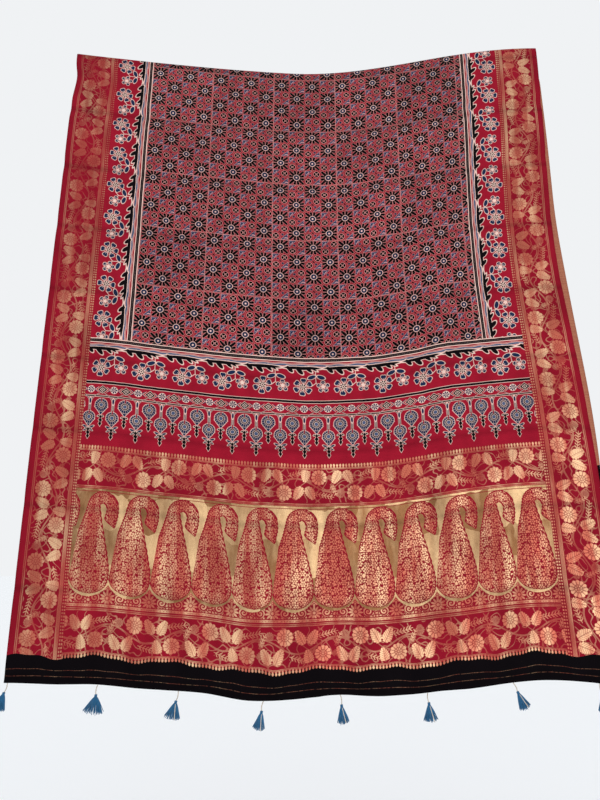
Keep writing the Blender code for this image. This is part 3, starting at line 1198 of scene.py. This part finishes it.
def tube(form, path, radii, sides=5, material=0):
    """Extrudes a small ring along a path of points, closed at both ends."""
    made = bmesh.ops.create_circle(form, cap_ends=False, segments=sides, radius=1.0)
    ring = made["verts"]
    edges = list({edge for vert in ring for edge in vert.link_edges})
    shapes = []
    for number, (point, radius) in enumerate(zip(path, radii)):
        before = path[max(number - 1, 0)]
        after = path[min(number + 1, len(path) - 1)]
        turn = (after - before).to_track_quat("Z", "Y").to_matrix().to_4x4()
        shapes.append(Matrix.Translation(point) @ turn @ Matrix.Scale(radius, 4))
    circle = [vert.co.copy() for vert in ring]
    for vert in ring:
        vert.co = shapes[0] @ vert.co
    faces = [bmesh.ops.contextual_create(form, geom=edges)["faces"][0]]
    for shape in shapes[1:]:
        made = bmesh.ops.extrude_edge_only(form, edges=edges)["geom"]
        ring = [part for part in made if isinstance(part, bmesh.types.BMVert)]
        edges = [part for part in made if isinstance(part, bmesh.types.BMEdge)]
        edges = [edge for edge in edges if all(vert in ring for vert in edge.verts)]
        faces += [part for part in made if isinstance(part, bmesh.types.BMFace)]
        for vert, start in zip(ring, circle):
            vert.co = shape @ start
    faces.append(bmesh.ops.contextual_create(form, geom=edges)["faces"][0])
    for face in faces:
        face.material_index = material
        face.smooth = True


def helix(radius, turns, steps, top, depth, start=0.0):
    """Points down a helix whose first one is that share of a turn round."""
    points = []
    for step in range(steps + 1):
        angle = 2 * math.pi * (turns * step / steps + start)
        down = top + depth * step / steps
        points.append(Vector((radius * math.cos(angle), radius * math.sin(angle), -down)))
    return points


def make_tassel(name, stitch, tilt, fan, number):
    """A two-ply cord from the hem, a wrapped neck and a flat fan of threads cut unevenly."""
    form = bmesh.new()
    for ply in range(PLIES):
        path = helix(PLY_RADIUS, PLY_TURNS, CORD_STEPS, 0, CORD_LENGTH, ply / PLIES)
        for step, point in enumerate(path):
            point.x += CORD_SWAY * math.sin(math.pi * step / CORD_STEPS) * (1 if number % 2 else -1)
        tube(form, path, [PLY_RADIUS] * len(path), 6, material=1)
    knot = CORD_LENGTH + NECK_LENGTH
    coil = helix(NECK_RADIUS - WRAP_RADIUS, WRAP_TURNS, WRAP_TURNS * WRAP_STEPS, CORD_LENGTH, NECK_LENGTH)
    tube(form, coil, [WRAP_RADIUS] * len(coil), 5)
    downs = (CORD_LENGTH - 0.0008, CORD_LENGTH + 0.0006, knot, knot + 0.004)
    core = [Vector((0, 0, -down)) for down in downs]
    tube(form, core, [0.0009, NECK_RADIUS - 0.0006, NECK_RADIUS - 0.0006, 0.0010], 8)
    spread = SKIRT_RADIUS * fan
    waist = NECK_RADIUS * 0.6
    for thread in range(THREADS):
        seed = Vector((thread * 1.37, number * 5.1, 0.3))
        share = ((thread + 0.5) / THREADS) * 2 - 1
        turned = math.sin(thread * 2.4)
        out = spread * share * (0.93 + 0.1 * noise.noise(seed))
        depth = spread * SKIRT_DEPTH * math.sqrt(max(1 - share * share, 0.02)) * turned * 0.85
        reach = SKIRT_LENGTH * (0.93 + 0.10 * noise.noise(seed * 2.7)) - 0.003 * share * share
        path = []
        for step in range(len(THREAD_SWELLS)):
            along = step / (len(THREAD_SWELLS) - 1)
            bow = along**0.9
            x = mix(waist * share, out, bow) + 0.0007 * math.sin(3 * along + thread) * along
            y = mix(waist * turned, depth, bow)
            path.append(Vector((x, y, -(knot - 0.001 + reach * along))))
        pale = number in PALE_TASSELS and thread in PALE_THREADS
        tube(form, path, [THREAD_RADIUS * swell for swell in THREAD_SWELLS], 4, material=int(pale))
    lean = Matrix.Rotation(math.radians(-tilt), 4, "Y")
    place = Matrix.Translation(stitch - Vector((0, 0, STITCH_GAP)))
    bmesh.ops.transform(form, matrix=place @ lean, verts=form.verts)
    bmesh.ops.recalc_face_normals(form, faces=form.faces)
    return make_object(name, form, (BLUE_THREAD, CORD_THREAD))


for end, along, places in (("front", 0.0, FRONT_TASSELS), ("back", LENGTH, BACK_TASSELS)):
    for number, (across, tilt, fan) in enumerate(places, start=1):
        stitch = cloth_point(across, along)
        made = make_tassel(f"thread_tassel_{end}_{number}", stitch, tilt, fan, number)
        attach(made, "root")
        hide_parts(f"tassel_{end}_{number}")

# ---------------- floor, light and camera

FLOOR_HEIGHT = -1.75
FLOOR_SIZE = 20
FLOOR_GLOW = 0.13  # lifts the floor to the backdrop's white
STUDIO = linear("#f0f2f4")
CAMERA_PLACE = (-0.015, -1.03, -1.004)
CAMERA_PITCH = 104.92
CAMERA_LENS = 26


def make_floor():
    form = bmesh.new()
    bmesh.ops.create_grid(form, x_segments=1, y_segments=1, size=FLOOR_SIZE)
    bmesh.ops.translate(form, vec=(0, 0, FLOOR_HEIGHT), verts=form.verts)
    painted = new_material("Painted floor", roughness=0.9)
    surface = painted.node_tree.nodes["Principled BSDF"]
    surface.inputs["Base Color"].default_value = STUDIO
    surface.inputs["Emission Color"].default_value = STUDIO
    surface.inputs["Emission Strength"].default_value = FLOOR_GLOW
    return make_object("floor", form, (painted,))


def make_light(name, place, target, size, power):
    data = bpy.data.lights.new(name, "AREA")
    data.shape = "RECTANGLE"
    data.size, data.size_y = size
    data.energy = power
    light = bpy.data.objects.new(name, data)
    light.location = place
    light.rotation_euler = (Vector(target) - Vector(place)).to_track_quat("-Z", "Y").to_euler()
    bpy.context.scene.collection.objects.link(light)


def make_world(strength):
    world = bpy.data.worlds.new("Studio")
    world.use_nodes = True
    bpy.context.scene.world = world
    background = world.node_tree.nodes["Background"]
    background.inputs["Color"].default_value = STUDIO
    background.inputs["Strength"].default_value = strength


def make_camera():
    data = bpy.data.cameras.new("Camera")
    data.lens = CAMERA_LENS
    camera = bpy.data.objects.new("Camera", data)
    camera.location = CAMERA_PLACE
    camera.rotation_euler = (math.radians(CAMERA_PITCH), 0, 0)
    bpy.context.scene.collection.objects.link(camera)
    bpy.context.scene.camera = camera


make_floor()
make_world(1.0)
make_light("Window", (0.9, -2.6, -1.3), (0, 0, -0.8), (1.8, 1.6), 18)
make_camera()
bpy.context.scene.view_settings.view_transform = "Standard"
